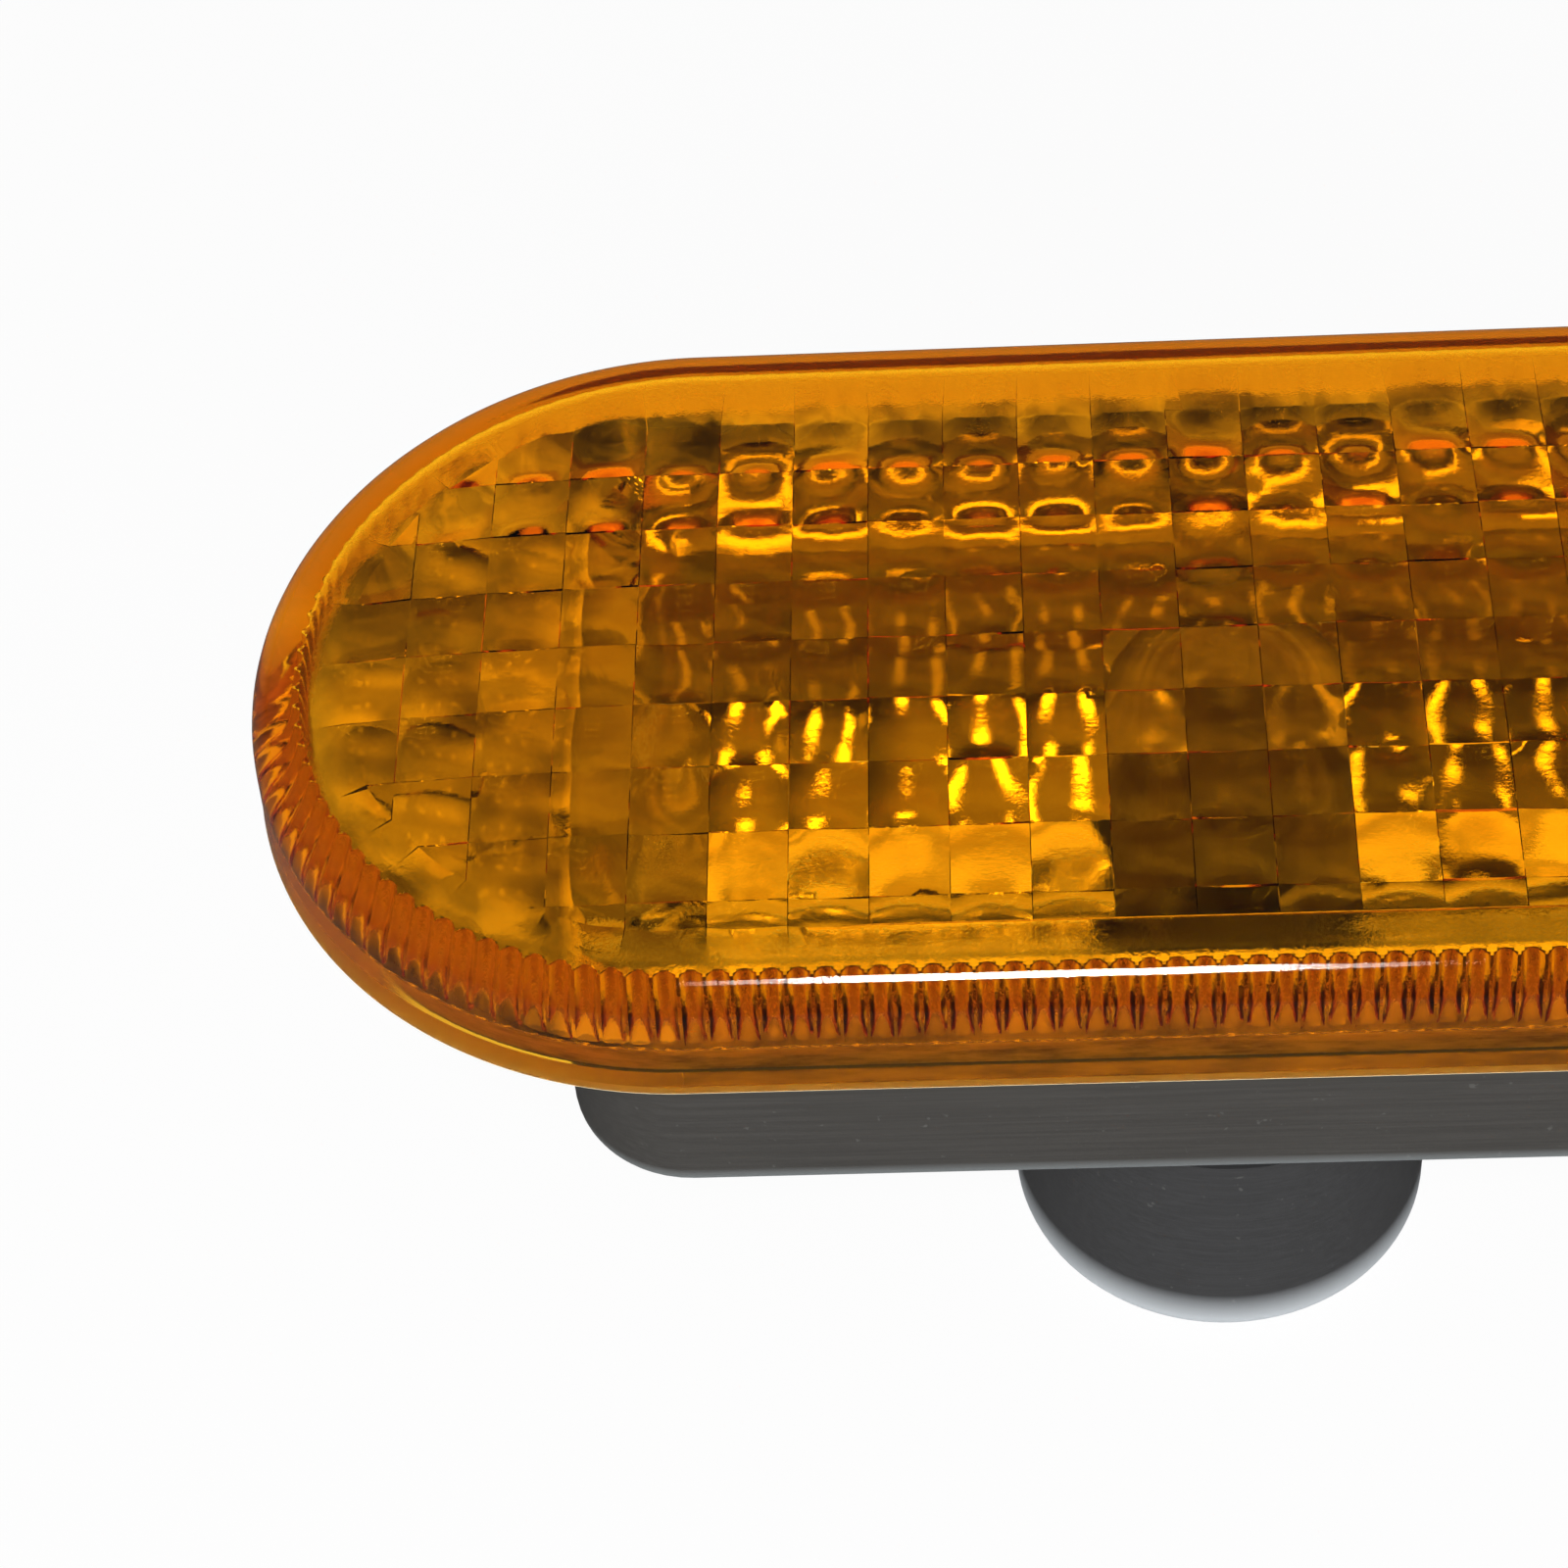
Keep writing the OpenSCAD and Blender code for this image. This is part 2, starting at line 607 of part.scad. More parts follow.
// Room in the holder for one terminal: spring, foot and blade
module terminal_pocket(side) {
    y_in = side < 0 ? spring_y : -spring_y - spring_t;
    low = min(y_in, -blade_off - blade_t / 2) - contact_room;
    high = max(y_in + spring_t, -blade_off + blade_t / 2) + contact_room;
    w = blade_w + 2 * contact_room;
    translate([side * lead_x - w / 2, low, pocket_z])
        cube([w, high - low, wedge_top - pocket_z]);
    translate([side * lead_x - w / 2, -blade_off - blade_t / 2 - contact_room, socket_top - over])
        cube([w, blade_t + 2 * contact_room, floor_t + 2 * over]);
}

module bulb_holder() {
    basket_r = bulb_r + bulb_room;
    color("#2e2e2e") difference() {
        union() {
            translate([0, 0, collar_top]) rotate_extrude()
                edge_section(collar_r, holder_end + collar_top, collar_edge_r);
            translate([0, 0, collar_top - into])
                cylinder(r = spigot_r, h = spigot_top - collar_top + into);
            rotate([0, 0, 90]) translate([0, 0, floor_z]) bayonet_bar(0, lug_t);
        }
        translate([0, 0, wedge_top]) cylinder(r = basket_r, h = spigot_top - wedge_top + over);
        translate([-wedge_w / 2 - bulb_room, -wedge_t / 2 - bulb_room, foot_top])
            cube([wedge_w + 2 * bulb_room, wedge_t + 2 * bulb_room, wedge_top - foot_top + into]);
        terminal_pocket(-1);
        terminal_pocket(1);
        translate([0, 0, -holder_end - over]) linear_extrude(holder_end + socket_top + over) {
            rounded_rect(socket_l, socket_w, socket_r);
            translate([-key_w / 2, 0]) square([key_w, socket_w / 2 + key_d]);
        }
    }
}

module holder_seal() {
    color("#1c1c1c") translate([0, 0, -neck_end - seal_t]) difference() {
        cylinder(r = neck_r - spigot_room, h = seal_t);
        translate([0, 0, -over]) cylinder(r = spigot_r + contact_room, h = seal_t + 2 * over);
    }
}

lens();
housing();
reflector();
bulb_holder();
holder_seal();
bulb_glass();
bulb_filament();
bulb_lead(-1);  // bulb_lead_left
bulb_lead(1);  // bulb_lead_right
terminal(-1);  // terminal_left
terminal(1);  // terminal_right
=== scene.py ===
import math
import random

import bmesh
import bpy
from mathutils import Matrix, Vector, noise


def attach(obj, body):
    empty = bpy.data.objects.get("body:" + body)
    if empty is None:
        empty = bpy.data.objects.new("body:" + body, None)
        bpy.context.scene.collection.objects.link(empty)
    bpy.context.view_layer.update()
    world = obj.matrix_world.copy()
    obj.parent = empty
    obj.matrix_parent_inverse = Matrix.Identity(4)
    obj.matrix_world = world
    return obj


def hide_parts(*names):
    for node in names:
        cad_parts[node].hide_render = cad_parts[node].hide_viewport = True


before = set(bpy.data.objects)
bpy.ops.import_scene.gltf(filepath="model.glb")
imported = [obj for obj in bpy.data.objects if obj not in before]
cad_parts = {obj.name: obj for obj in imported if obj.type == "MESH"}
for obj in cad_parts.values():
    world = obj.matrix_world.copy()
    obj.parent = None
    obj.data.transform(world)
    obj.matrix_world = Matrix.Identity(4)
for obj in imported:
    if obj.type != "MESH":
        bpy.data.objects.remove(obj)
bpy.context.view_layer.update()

MM = 0.001
TINY = 1e-4

# Sizes, in mm
LENS_L, LENS_W, LENS_H = 70.0, 31.6, 5.2
LENS_R = LENS_W / 2
END_X = (LENS_L - LENS_W) / 2
DOME_H = 0.8
SHOULDER_R = 2.4
SKIRT_DRAFT = 0.12
SHOULDER_IN = SKIRT_DRAFT + SHOULDER_R
CROWN_IN = 0.9 * LENS_R
FACE_T = 1.2
ROOF_Z = LENS_H - FACE_T
RIM_T = 1.7
FLANGE_T = 1.2
LEDGE_Z = FLANGE_T + 0.02
SKIRT_T = 1.8
EDGE_Z = 0.03
LOWER_EDGE = ((0.01, EDGE_Z), (0.05, 0.35))
SHOULDER_STEPS, CROWN_STEPS = 12, 10
FAR_START, FAR_RANGE = 1.0, 5.0

FLUTE_H = 0.34
FLUTE_FOOT = 0.9
FAR_FLUTE = 0.3
FLUTE_POINTS = 8
FLUTE_POWER = 0.6
FLUTE_ROUGHNESS = 0.09
FAR_FROST = 2.0
MATT_IN = 0.5
MATT_SHARE = 0.9
FAR_MATT = 0.55
MATT_EDGE = 0.05
MATT_RANGE = 4.0
FOOT_CHATTER = 0.06
CHATTER_SEED = 3
FOOT_STEPS, FILLET_STEPS = 6, 7
FLUTES_END = 50
FLUTES_SIDE = 43
FILLET_FOOT = 3.65
FILLET_IN = 2.5
ROUND = 4

PILLOW_X, PILLOW_Y = 2.72, 2.785
PILLOW_COLS, PILLOW_ROWS = 25, 10
PILLOW_SHIFT = -0.58
PILLOW_STEPS = 8
WALL_STRIP = 0.015
CUSHION_POWER = 0.9
FIELD_IN = 3.57
FIELD_FAR = 10.95
FIELD_CUTS = 26
ROOF_FOLLOW = 0.6
FIELD_CRISP, WALL_CRISP = 12, 34
PILLOW_SEED = 7
FAR_ROWS = 3
FAR_BULGE, NEAR_BULGE, LAST_ROW_MORE = (0.20, 0.27), (0.15, 0.21), 0.06
FAR_ROUND, NEAR_ROUND = 0.7, 0.3
PILLOW_TILT, PILLOW_LIFT, PILLOW_SINK = 0.03, 0.02, 0.06
ROOF_RIPPLE = 0.01


# Mesh helpers
def finish_mesh(bm, name, material, node):
    """Turns a bmesh in mm into a piece in metres that replaces one of the lamp's solids."""
    bmesh.ops.scale(bm, vec=(MM, MM, MM), verts=bm.verts)
    mesh = bpy.data.meshes.new(name)
    bm.to_mesh(mesh)
    bm.free()
    piece = bpy.data.objects.new(name, mesh)
    bpy.context.scene.collection.objects.link(piece)
    mesh.materials.append(material)
    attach(piece, "root")
    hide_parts(node)


def out_of(co):
    """The nearest point to co on the lens's middle line, and the direction from it to co."""
    foot = Vector((max(-END_X, min(END_X, co.x)), 0, 0))
    away = Vector((co.x, co.y, 0)) - foot
    return foot, away.normalized()


def place(vert, inset, z):
    """Moves a point straight in or out to an inset from the rim, at a height."""
    foot, away = out_of(vert.co)
    spot = foot + away * (LENS_R - inset)
    vert.co = (spot.x, spot.y, z)


def oval_loop(bm, arc_points, side_points, inset, z):
    """A closed loop of the lens's outline, with a number of points for each end and side."""
    verts = bmesh.ops.create_circle(bm, segments=2 * arc_points,
                                    radius=LENS_R - inset)["verts"]
    half_step = math.pi / (2 * arc_points)
    bmesh.ops.rotate(bm, verts=verts, matrix=Matrix.Rotation(half_step, 3, "Z"))
    for vert in verts:
        vert.co += Vector((math.copysign(END_X, vert.co.x), 0, z))
    edges = list(dict.fromkeys(e for v in verts for e in v.link_edges))
    for side in [e for e in edges if e.calc_length() > END_X]:
        start = side.verts[0]
        for left in range(side_points, 0, -1):
            piece, start = bmesh.utils.edge_split(side, start, 1 / (left + 1))
            edges.append(piece)
    return edges


def next_loop(bm, edges):
    """Extrudes a loop of edges on itself and returns the new loop's edges and points."""
    geom = bmesh.ops.extrude_edge_only(bm, edges=edges)["geom"]
    verts = [g for g in geom if isinstance(g, bmesh.types.BMVert)]
    new = set(verts)
    ring = list(dict.fromkeys(e for v in verts for e in v.link_edges
                              if e.verts[0] in new and e.verts[1] in new))
    return ring, verts


def loft(bm, edges, profile):
    """Carries a loop through a list of (inset, z) pairs."""
    for inset, z in profile:
        edges, verts = next_loop(bm, edges)
        for vert in verts:
            place(vert, inset, z)
            for layer in bm.verts.layers.float:
                vert[layer] = 0
    return edges


def arc(steps, start, stop):
    """Evenly spaced values from start to stop, both included."""
    return [start + (stop - start) * k / steps for k in range(steps + 1)]


# Lens
def dome_rise(inset):
    """Height of the outside above the shoulder, at a distance in from the rim."""
    t = min(1.0, max(0.0, (inset - SHOULDER_IN) / (CROWN_IN - SHOULDER_IN)))
    return DOME_H * (1 - (1 - t) ** 2)


def outside_profile():
    """The lens's outside from the rim to near the crown, as pairs of inset and height."""
    yield from LOWER_EDGE
    for angle in arc(SHOULDER_STEPS, 0, math.pi / 2):
        yield (SHOULDER_IN - SHOULDER_R * math.cos(angle),
               LENS_H - SHOULDER_R + SHOULDER_R * math.sin(angle))
    for t in arc(CROWN_STEPS, 0.1, 1.0):
        inset = SHOULDER_IN + (CROWN_IN - SHOULDER_IN) * t
        yield inset, LENS_H + dome_rise(inset)


def flute_phase(co):
    """Where a point of the skirt's inside lies across its flute, from 0 to 1."""
    away = out_of(co)[1]
    if abs(co.x) < END_X:
        along = (co.x + END_X) / (2 * END_X) * FLUTES_SIDE
    else:
        along = (math.atan2(away.y, away.x) / math.pi + 0.5) * FLUTES_END
    return along % 1.0


def fillet_inset(z):
    """The plain curved band between the skirt and the face."""
    if z <= FILLET_FOOT:
        return 0.0
    t = min(1.0, (z - FILLET_FOOT) / (ROOF_Z - FILLET_FOOT))
    return SKIRT_T + (FILLET_IN - SKIRT_T) * (1 - math.sqrt(1 - t * t))


def far_share(co):
    """0 on the near side and 1 on the far side."""
    return min(1.0, max(0.0, (co.y - FAR_START) / FAR_RANGE))


def matt_share(co):
    """How matt the rim's lower face is: fully at the ends and partly on the far side."""
    end_share = min(1.0, max(0.0, (abs(co.x) - END_X) / MATT_RANGE)) * (1 - far_share(co))
    return max(end_share, FAR_MATT * far_share(co))


def flute_inset(co, z):
    """Half-round ribs that end in a rounded foot and are shallow on the far side."""
    phase = flute_phase(co)
    rib = (1 - (2 * phase - 1) ** 2) ** FLUTE_POWER
    foot = 1 - max(0.0, 1 - (z - LEDGE_Z) / FLUTE_FOOT)
    rib *= math.sqrt(max(0.0, 1 - (1 - foot) ** 2))
    height = FLUTE_H * (1 + (FAR_FLUTE - 1) * far_share(co))
    return max(SKIRT_T + height * rib, fillet_inset(z))


def pillow_field(bm):
    """The pillows inside the face, each one with its own small tilt, cut to the face's oval."""
    step = PILLOW_STEPS + 1
    nx, ny = PILLOW_COLS * step - 1, PILLOW_ROWS * step - 1
    verts = bmesh.ops.create_grid(bm, x_segments=nx, y_segments=ny, size=0.5)["verts"]
    rand = random.Random(PILLOW_SEED)
    cells = {}
    for col in range(PILLOW_COLS):
        for row in range(PILLOW_ROWS):
            far = row >= PILLOW_ROWS - FAR_ROWS
            last = row == PILLOW_ROWS - 2
            cells[col, row] = dict(
                bulge=rand.uniform(*(FAR_BULGE if far else NEAR_BULGE)) + LAST_ROW_MORE * last,
                tilt_x=rand.gauss(0, PILLOW_TILT), tilt_y=rand.gauss(0, PILLOW_TILT),
                lift=rand.uniform(0, PILLOW_LIFT),
                round=FAR_ROUND if far else NEAR_ROUND)
    for vert in verts:
        i, j = round((vert.co.x + 0.5) * nx), round((vert.co.y + 0.5) * ny)
        col, row = i // step, j // step
        u, v = 2 * (i % step) / PILLOW_STEPS - 1, 2 * (j % step) / PILLOW_STEPS - 1
        cell = cells[col, row]
        half_x, half_y = PILLOW_X / 2 - WALL_STRIP, PILLOW_Y / 2 - WALL_STRIP
        x = (col - (PILLOW_COLS - 1) / 2) * PILLOW_X + u * half_x + PILLOW_SHIFT
        y = (row - (PILLOW_ROWS - 1) / 2) * PILLOW_Y + v * half_y
        cushion = ((1 - u * u) * (1 - v * v)) ** CUSHION_POWER
        bowl = 1 - (u * u + v * v) / 2
        depth = cell["bulge"] * (cell["round"] * cushion + (1 - cell["round"]) * bowl)
        depth += cell["tilt_x"] * u * half_x + cell["tilt_y"] * v * half_y + cell["lift"]
        ripple = ROOF_RIPPLE * noise.noise(Vector((x * 0.5, y * 0.5, 3.0)))
        spot = Vector((x, y, 0))
        rise = ROOF_FOLLOW * dome_rise(LENS_R - (spot - out_of(spot)[0]).length)
        vert.co = (x, y, ROOF_Z + rise - max(0.0, depth + PILLOW_SINK) + ripple)
    reach = LENS_R - FIELD_IN
    cuts = [((0, -reach, 0), (0, -1, 0)), ((0, FIELD_FAR, 0), (0, 1, 0))]
    for side in (-1, 1):
        for k in range(FIELD_CUTS):
            angle = math.pi * ((k + 0.5) / FIELD_CUTS - 0.5)
            n = Vector((side * math.cos(angle), math.sin(angle), 0))
            cuts.append((Vector((side * END_X, 0, 0)) + n * reach, n))
    for co, no in cuts:
        bmesh.ops.bisect_plane(bm, geom=bm.verts[:] + bm.edges[:] + bm.faces[:], dist=1e-5,
                               plane_co=co, plane_no=no, clear_outer=True)


def make_lens(material):
    field = bmesh.new()
    pillow_field(field)
    field_mesh = bpy.data.meshes.new("pillow_field")
    field.to_mesh(field_mesh)
    field.free()

    bm = bmesh.new()
    bm.from_mesh(field_mesh)
    bpy.data.meshes.remove(field_mesh)
    field_edge = [e for e in bm.edges if e.is_boundary]

    foot = oval_loop(bm, FLUTES_END * FLUTE_POINTS, FLUTES_SIDE * FLUTE_POINTS,
                     SKIRT_T, LEDGE_Z)
    for vert in {v for e in foot for v in e.verts}:
        place(vert, flute_inset(vert.co, LEDGE_Z), LEDGE_Z)
    frost = bm.verts.layers.float.new("frost")
    chatter = random.Random(CHATTER_SEED)
    for vert in {v for e in foot for v in e.verts}:
        vert[frost] = 1 + FAR_FROST * far_share(vert.co)
    levels = [LEDGE_Z + FLUTE_FOOT * (1 - math.cos(a))
              for a in arc(FOOT_STEPS, math.pi / (2 * FOOT_STEPS), math.pi / 2)]
    levels += [FILLET_FOOT]
    levels += [FILLET_FOOT + (ROOF_Z - FILLET_FOOT) * math.sin(a)
               for a in arc(FILLET_STEPS, math.pi / (2 * FILLET_STEPS), math.pi / 2)]
    wall = foot
    for z in levels:
        wall, verts = next_loop(bm, wall)
        for vert in verts:
            rough = FOOT_CHATTER * max(0.0, 1 - (z - LEDGE_Z) / FLUTE_FOOT)
            place(vert, flute_inset(vert.co, z) + chatter.uniform(0, rough), z)
            vert[frost] = 1 + FAR_FROST * far_share(vert.co)
    bmesh.ops.triangle_fill(bm, use_beauty=True, edges=wall + field_edge, normal=(0, 0, 1))

    rim = oval_loop(bm, FLUTES_END * FLUTE_POINTS // ROUND,
                    FLUTES_SIDE * FLUTE_POINTS // ROUND, 0, 0)
    matt = bm.verts.layers.float.new("matt")
    crown = loft(bm, rim, outside_profile())
    _, verts = next_loop(bm, crown)
    for vert in verts:
        vert.co = (out_of(vert.co)[0].x, 0, LENS_H + DOME_H)
    bmesh.ops.remove_doubles(bm, verts=verts, dist=TINY)
    ring = loft(bm, rim, [(MATT_IN, 0)])
    inner = loft(bm, ring, [(MATT_IN + MATT_EDGE, 0)])
    pocket = loft(bm, inner, [(RIM_T, 0)])
    for loop in (rim, ring, inner, pocket):
        for vert in {v for e in loop for v in e.verts}:
            near_ring = 1 - far_share(vert.co) if loop in (rim, ring) else 0
            vert[matt] = max(near_ring, matt_share(vert.co))
    ledge = loft(bm, pocket, [(RIM_T, EDGE_Z), (RIM_T, LEDGE_Z)])
    bmesh.ops.triangle_fill(bm, use_beauty=True, edges=ledge + foot, normal=(0, 0, 1))

    bmesh.ops.remove_doubles(bm, verts=bm.verts, dist=TINY)
    bmesh.ops.dissolve_degenerate(bm, edges=bm.edges, dist=TINY)
    bmesh.ops.recalc_face_normals(bm, faces=bm.faces)
    for face in bm.faces:
        face.smooth = True
    for edge in bm.edges:
        in_field = all(f.normal.z < -0.5 and f.calc_center_median().z > FILLET_FOOT
                       for f in edge.link_faces)
        crisp = math.radians(FIELD_CRISP if in_field else WALL_CRISP)
        if len(edge.link_faces) == 2 and edge.calc_face_angle(0) > crisp:
            edge.smooth = False
    finish_mesh(bm, "lens_moulding", material, "lens")


# Reflector
MIRROR_TOP = 2.0
TROUGH_Z = -6.5
TROUGH_F = 4.0
TROUGH_Y = 9.2
BRIM_X, BRIM_Y = 23.15, 11.65
END_SLOPE = math.radians(72)
END_R = 3.0
HOLE_R = 5.3
PLATE_IN = 2.3
SHEET_T = 0.79
HOLE_POINTS, TROUGH_STEPS = 192, 44
CORNER_POWER, BLEND_POWER = 10, 5
SHEET_CRISP, COPY_CRISP = 30, 32


def trough_side(y):
    """The trough's rise across the lamp."""
    y = abs(y)
    if y < TROUGH_Y:
        return y * y / (4 * TROUGH_F)
    low = TROUGH_Y ** 2 / (4 * TROUGH_F)
    return low + (y - TROUGH_Y) / (BRIM_Y - TROUGH_Y) * (MIRROR_TOP - TROUGH_Z - low)


def trough_end(x):
    """The trough's rise at its turned-up ends."""
    x = abs(x)
    rise = MIRROR_TOP - TROUGH_Z
    start = BRIM_X - rise / math.tan(END_SLOPE) - END_R * math.tan(END_SLOPE / 2)
    if x < start:
        return 0.0
    if x < start + END_R * math.sin(END_SLOPE):
        return END_R - math.sqrt(END_R ** 2 - (x - start) ** 2)
    return rise - (BRIM_X - x) * math.tan(END_SLOPE)


def trough_z(x, y):
    """The height of the trough's surface, with its sides and ends blended."""
    side, end = trough_side(y) ** BLEND_POWER, trough_end(x) ** BLEND_POWER
    return min(MIRROR_TOP, TROUGH_Z + (side + end) ** (1 / BLEND_POWER))


def brim_point(angle):
    """The point of the trough's rounded rectangle in the direction of an angle."""
    c, s = math.cos(angle), math.sin(angle)
    power = (abs(c) / BRIM_X) ** CORNER_POWER + (abs(s) / BRIM_Y) ** CORNER_POWER
    size = power ** (-1 / CORNER_POWER)
    return Vector((c * size, s * size, 0))


def make_reflector(material):
    bm = bmesh.new()
    verts = bmesh.ops.create_circle(bm, segments=HOLE_POINTS, radius=HOLE_R)["verts"]
    edges = list(dict.fromkeys(e for v in verts for e in v.link_edges))
    for vert in verts:
        vert.co.z = trough_z(vert.co.x, vert.co.y)
    for k in range(1, TROUGH_STEPS + 1):
        edges, ring = next_loop(bm, edges)
        for vert in ring:
            angle = math.atan2(vert.co.y, vert.co.x)
            inner = Vector((math.cos(angle), math.sin(angle), 0)) * HOLE_R
            spot = inner.lerp(brim_point(angle), k / TROUGH_STEPS)
            vert.co = (spot.x, spot.y, trough_z(spot.x, spot.y))
    edges, ring = next_loop(bm, edges)
    for vert in ring:
        place(vert, PLATE_IN, MIRROR_TOP)
    bmesh.ops.recalc_face_normals(bm, faces=bm.faces)
    if sum(f.normal.z for f in bm.faces) < 0:
        bmesh.ops.reverse_faces(bm, faces=bm.faces)
    bmesh.ops.solidify(bm, geom=bm.faces[:], thickness=SHEET_T)
    for face in bm.faces:
        face.smooth = True
    for edge in bm.edges:
        if len(edge.link_faces) == 2 and edge.calc_face_angle(0) > math.radians(SHEET_CRISP):
            edge.smooth = False
    finish_mesh(bm, "trough_reflector", material, "reflector")


# Copies of the exact solids
def dressed_copy(node, name, material):
    """A welded, smooth-shaded copy of a solid, in its own place."""
    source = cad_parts[node]
    bm = bmesh.new()
    bm.from_mesh(source.data)
    bmesh.ops.transform(bm, matrix=source.matrix_world, verts=bm.verts)
    bmesh.ops.scale(bm, vec=(1 / MM, 1 / MM, 1 / MM), verts=bm.verts)
    bmesh.ops.remove_doubles(bm, verts=bm.verts, dist=1e-3)
    bmesh.ops.dissolve_limit(bm, angle_limit=math.radians(0.5), verts=bm.verts, edges=bm.edges)
    for face in bm.faces:
        face.smooth = True
    for edge in bm.edges:
        if len(edge.link_faces) == 2 and edge.calc_face_angle(0) > math.radians(COPY_CRISP):
            edge.smooth = False
    finish_mesh(bm, name, material, node)


# Materials
AMBER_IOR = 1.49
AMBER_DEPTH, AMBER_DENSITY = (0.992, 0.875, 0.2, 1), 1530
AMBER_BASE = [(0.0, (1, 0.78, 0.28)), (1.0, (1, 0.93, 0.7))]
# Painted shade on the mirror's brim: its dark patchy colours, and the far-side Y span and end X
# span in mm where it is laid.
SHADE_PATCH_STOPS = [(0.4, (0.14, 0.13, 0.12)), (0.62, (0.5, 0.5, 0.48))]
SHADE_FAR, SHADE_END = (10.9, 11.5), (22.9, 23.4)


def new_material(name):
    """A material, its node tree and its Principled shader."""
    material = bpy.data.materials.new(name)
    material.use_nodes = True
    tree = material.node_tree
    return material, tree, tree.nodes["Principled BSDF"]


def add(tree, kind, **values):
    """A node, with values set on its inputs or its own settings."""
    node = tree.nodes.new(kind)
    for key, value in values.items():
        if key in node.inputs:
            node.inputs[key].default_value = value
        else:
            setattr(node, key, value)
    return node


def noise_tex(tree, scale, stretch=(1, 1, 1), detail=4.0, rough=0.55):
    """Noise over the piece, in features of about 1/scale mm."""
    coord = add(tree, "ShaderNodeTexCoord")
    mapping = add(tree, "ShaderNodeMapping")
    mapping.inputs["Scale"].default_value = [1000 * s for s in stretch]
    tex = add(tree, "ShaderNodeTexNoise", Scale=scale, Detail=detail, Roughness=rough)
    tree.links.new(coord.outputs["Object"], mapping.inputs["Vector"])
    tree.links.new(mapping.outputs["Vector"], tex.inputs["Vector"])
    return tex


def ramp(tree, source, stops):
    node = add(tree, "ShaderNodeValToRGB")
    while len(node.color_ramp.elements) < len(stops):
        node.color_ramp.elements.new(0.5)
    for element, (position, colour) in zip(node.color_ramp.elements, stops):
        element.position = position
        element.color = (*colour, 1) if isinstance(colour, tuple) else (colour, colour, colour, 1)
    tree.links.new(source, node.inputs["Fac"])
    return node.outputs["Color"]


def bump(tree, height, strength, distance, normal=None):
    node = add(tree, "ShaderNodeBump", Strength=strength, Distance=distance)
    tree.links.new(height, node.inputs["Height"])
    if normal:
        tree.links.new(normal, node.inputs["Normal"])
    return node.outputs["Normal"]


def position(tree):
    """A node that gives the X, Y and Z of each point of the piece, in metres."""
    coord = add(tree, "ShaderNodeTexCoord")
    split = add(tree, "ShaderNodeSeparateXYZ")
    tree.links.new(coord.outputs["Object"], split.inputs[0])
    return split


def amber_plastic():
    """Clear amber that deepens with its thickness, frosted on the flutes and matt on the rim."""
    material, tree, shader = new_material("amber_plastic")
    shader.inputs["IOR"].default_value = AMBER_IOR
    haze = noise_tex(tree, 0.6)
    frost = add(tree, "ShaderNodeAttribute", attribute_name="frost")
    rough = add(tree, "ShaderNodeMath", operation="MULTIPLY_ADD")
    rough.inputs[1].default_value = FLUTE_ROUGHNESS
    tree.links.new(frost.outputs["Fac"], rough.inputs[0])
    tree.links.new(ramp(tree, haze.outputs["Fac"], [(0.3, 0.0), (0.75, 0.012)]), rough.inputs[2])
    tree.links.new(rough.outputs[0], shader.inputs["Roughness"])
    matt = add(tree, "ShaderNodeAttribute", attribute_name="matt")
    tree.links.new(ramp(tree, matt.outputs["Fac"], AMBER_BASE), shader.inputs["Base Color"])
    clear = add(tree, "ShaderNodeMath", operation="MULTIPLY_ADD")
    clear.inputs[1].default_value = -MATT_SHARE
    clear.inputs[2].default_value = 1
    tree.links.new(matt.outputs["Fac"], clear.inputs[0])
    tree.links.new(clear.outputs[0], shader.inputs["Transmission Weight"])
    ripple = noise_tex(tree, 0.35, detail=1)
    grain = noise_tex(tree, 6, detail=3)
    scratch = noise_tex(tree, 3.0, stretch=(0.25, 2.2, 1), detail=6, rough=0.8)
    normal = bump(tree, ripple.outputs["Fac"], 0.3, 0.00003)
    normal = bump(tree, grain.outputs["Fac"], 0.22, 0.000006, normal)
    normal = bump(tree, scratch.outputs["Fac"], 0.10, 0.000006, normal)
    speck = noise_tex(tree, 5, stretch=(1, 1, 0.35), detail=3, rough=0.7)
    etched = add(tree, "ShaderNodeMath", operation="MULTIPLY")
    tree.links.new(speck.outputs["Fac"], etched.inputs[0])
    tree.links.new(frost.outputs["Fac"], etched.inputs[1])
    normal = bump(tree, etched.outputs[0], 0.5, 0.00003, normal)
    tree.links.new(normal, shader.inputs["Normal"])
    body = add(tree, "ShaderNodeVolumeAbsorption", Density=AMBER_DENSITY)
    body.inputs["Color"].default_value = AMBER_DEPTH
    tree.links.new(body.outputs["Volume"], tree.nodes["Material Output"].inputs["Volume"])
    return material


def coated_above(tree, shader, level):
    """Makes a plastic bright metal above a level in metres, as a sprayed coat does."""
    above = add(tree, "ShaderNodeMath", operation="GREATER_THAN")
    above.inputs[1].default_value = level
    tree.links.new(position(tree).outputs["Z"], above.inputs[0])
    tree.links.new(above.outputs[0], shader.inputs["Metallic"])
    streaks = noise_tex(tree, 0.8, stretch=(0.5, 0.5, 2.5), detail=5, rough=0.7)
    mix = add(tree, "ShaderNodeMix", data_type="RGBA", blend_type="MIX")
    tree.links.new(above.outputs[0], mix.inputs[0])
    tree.links.new(shader.inputs["Base Color"].links[0].from_socket, mix.inputs[6])
    tree.links.new(ramp(tree, streaks.outputs["Fac"], [(0.36, 0.40), (0.5, 0.7), (0.62, 0.9)]),
                   mix.inputs[7])
    tree.links.new(mix.outputs[2], shader.inputs["Base Color"])


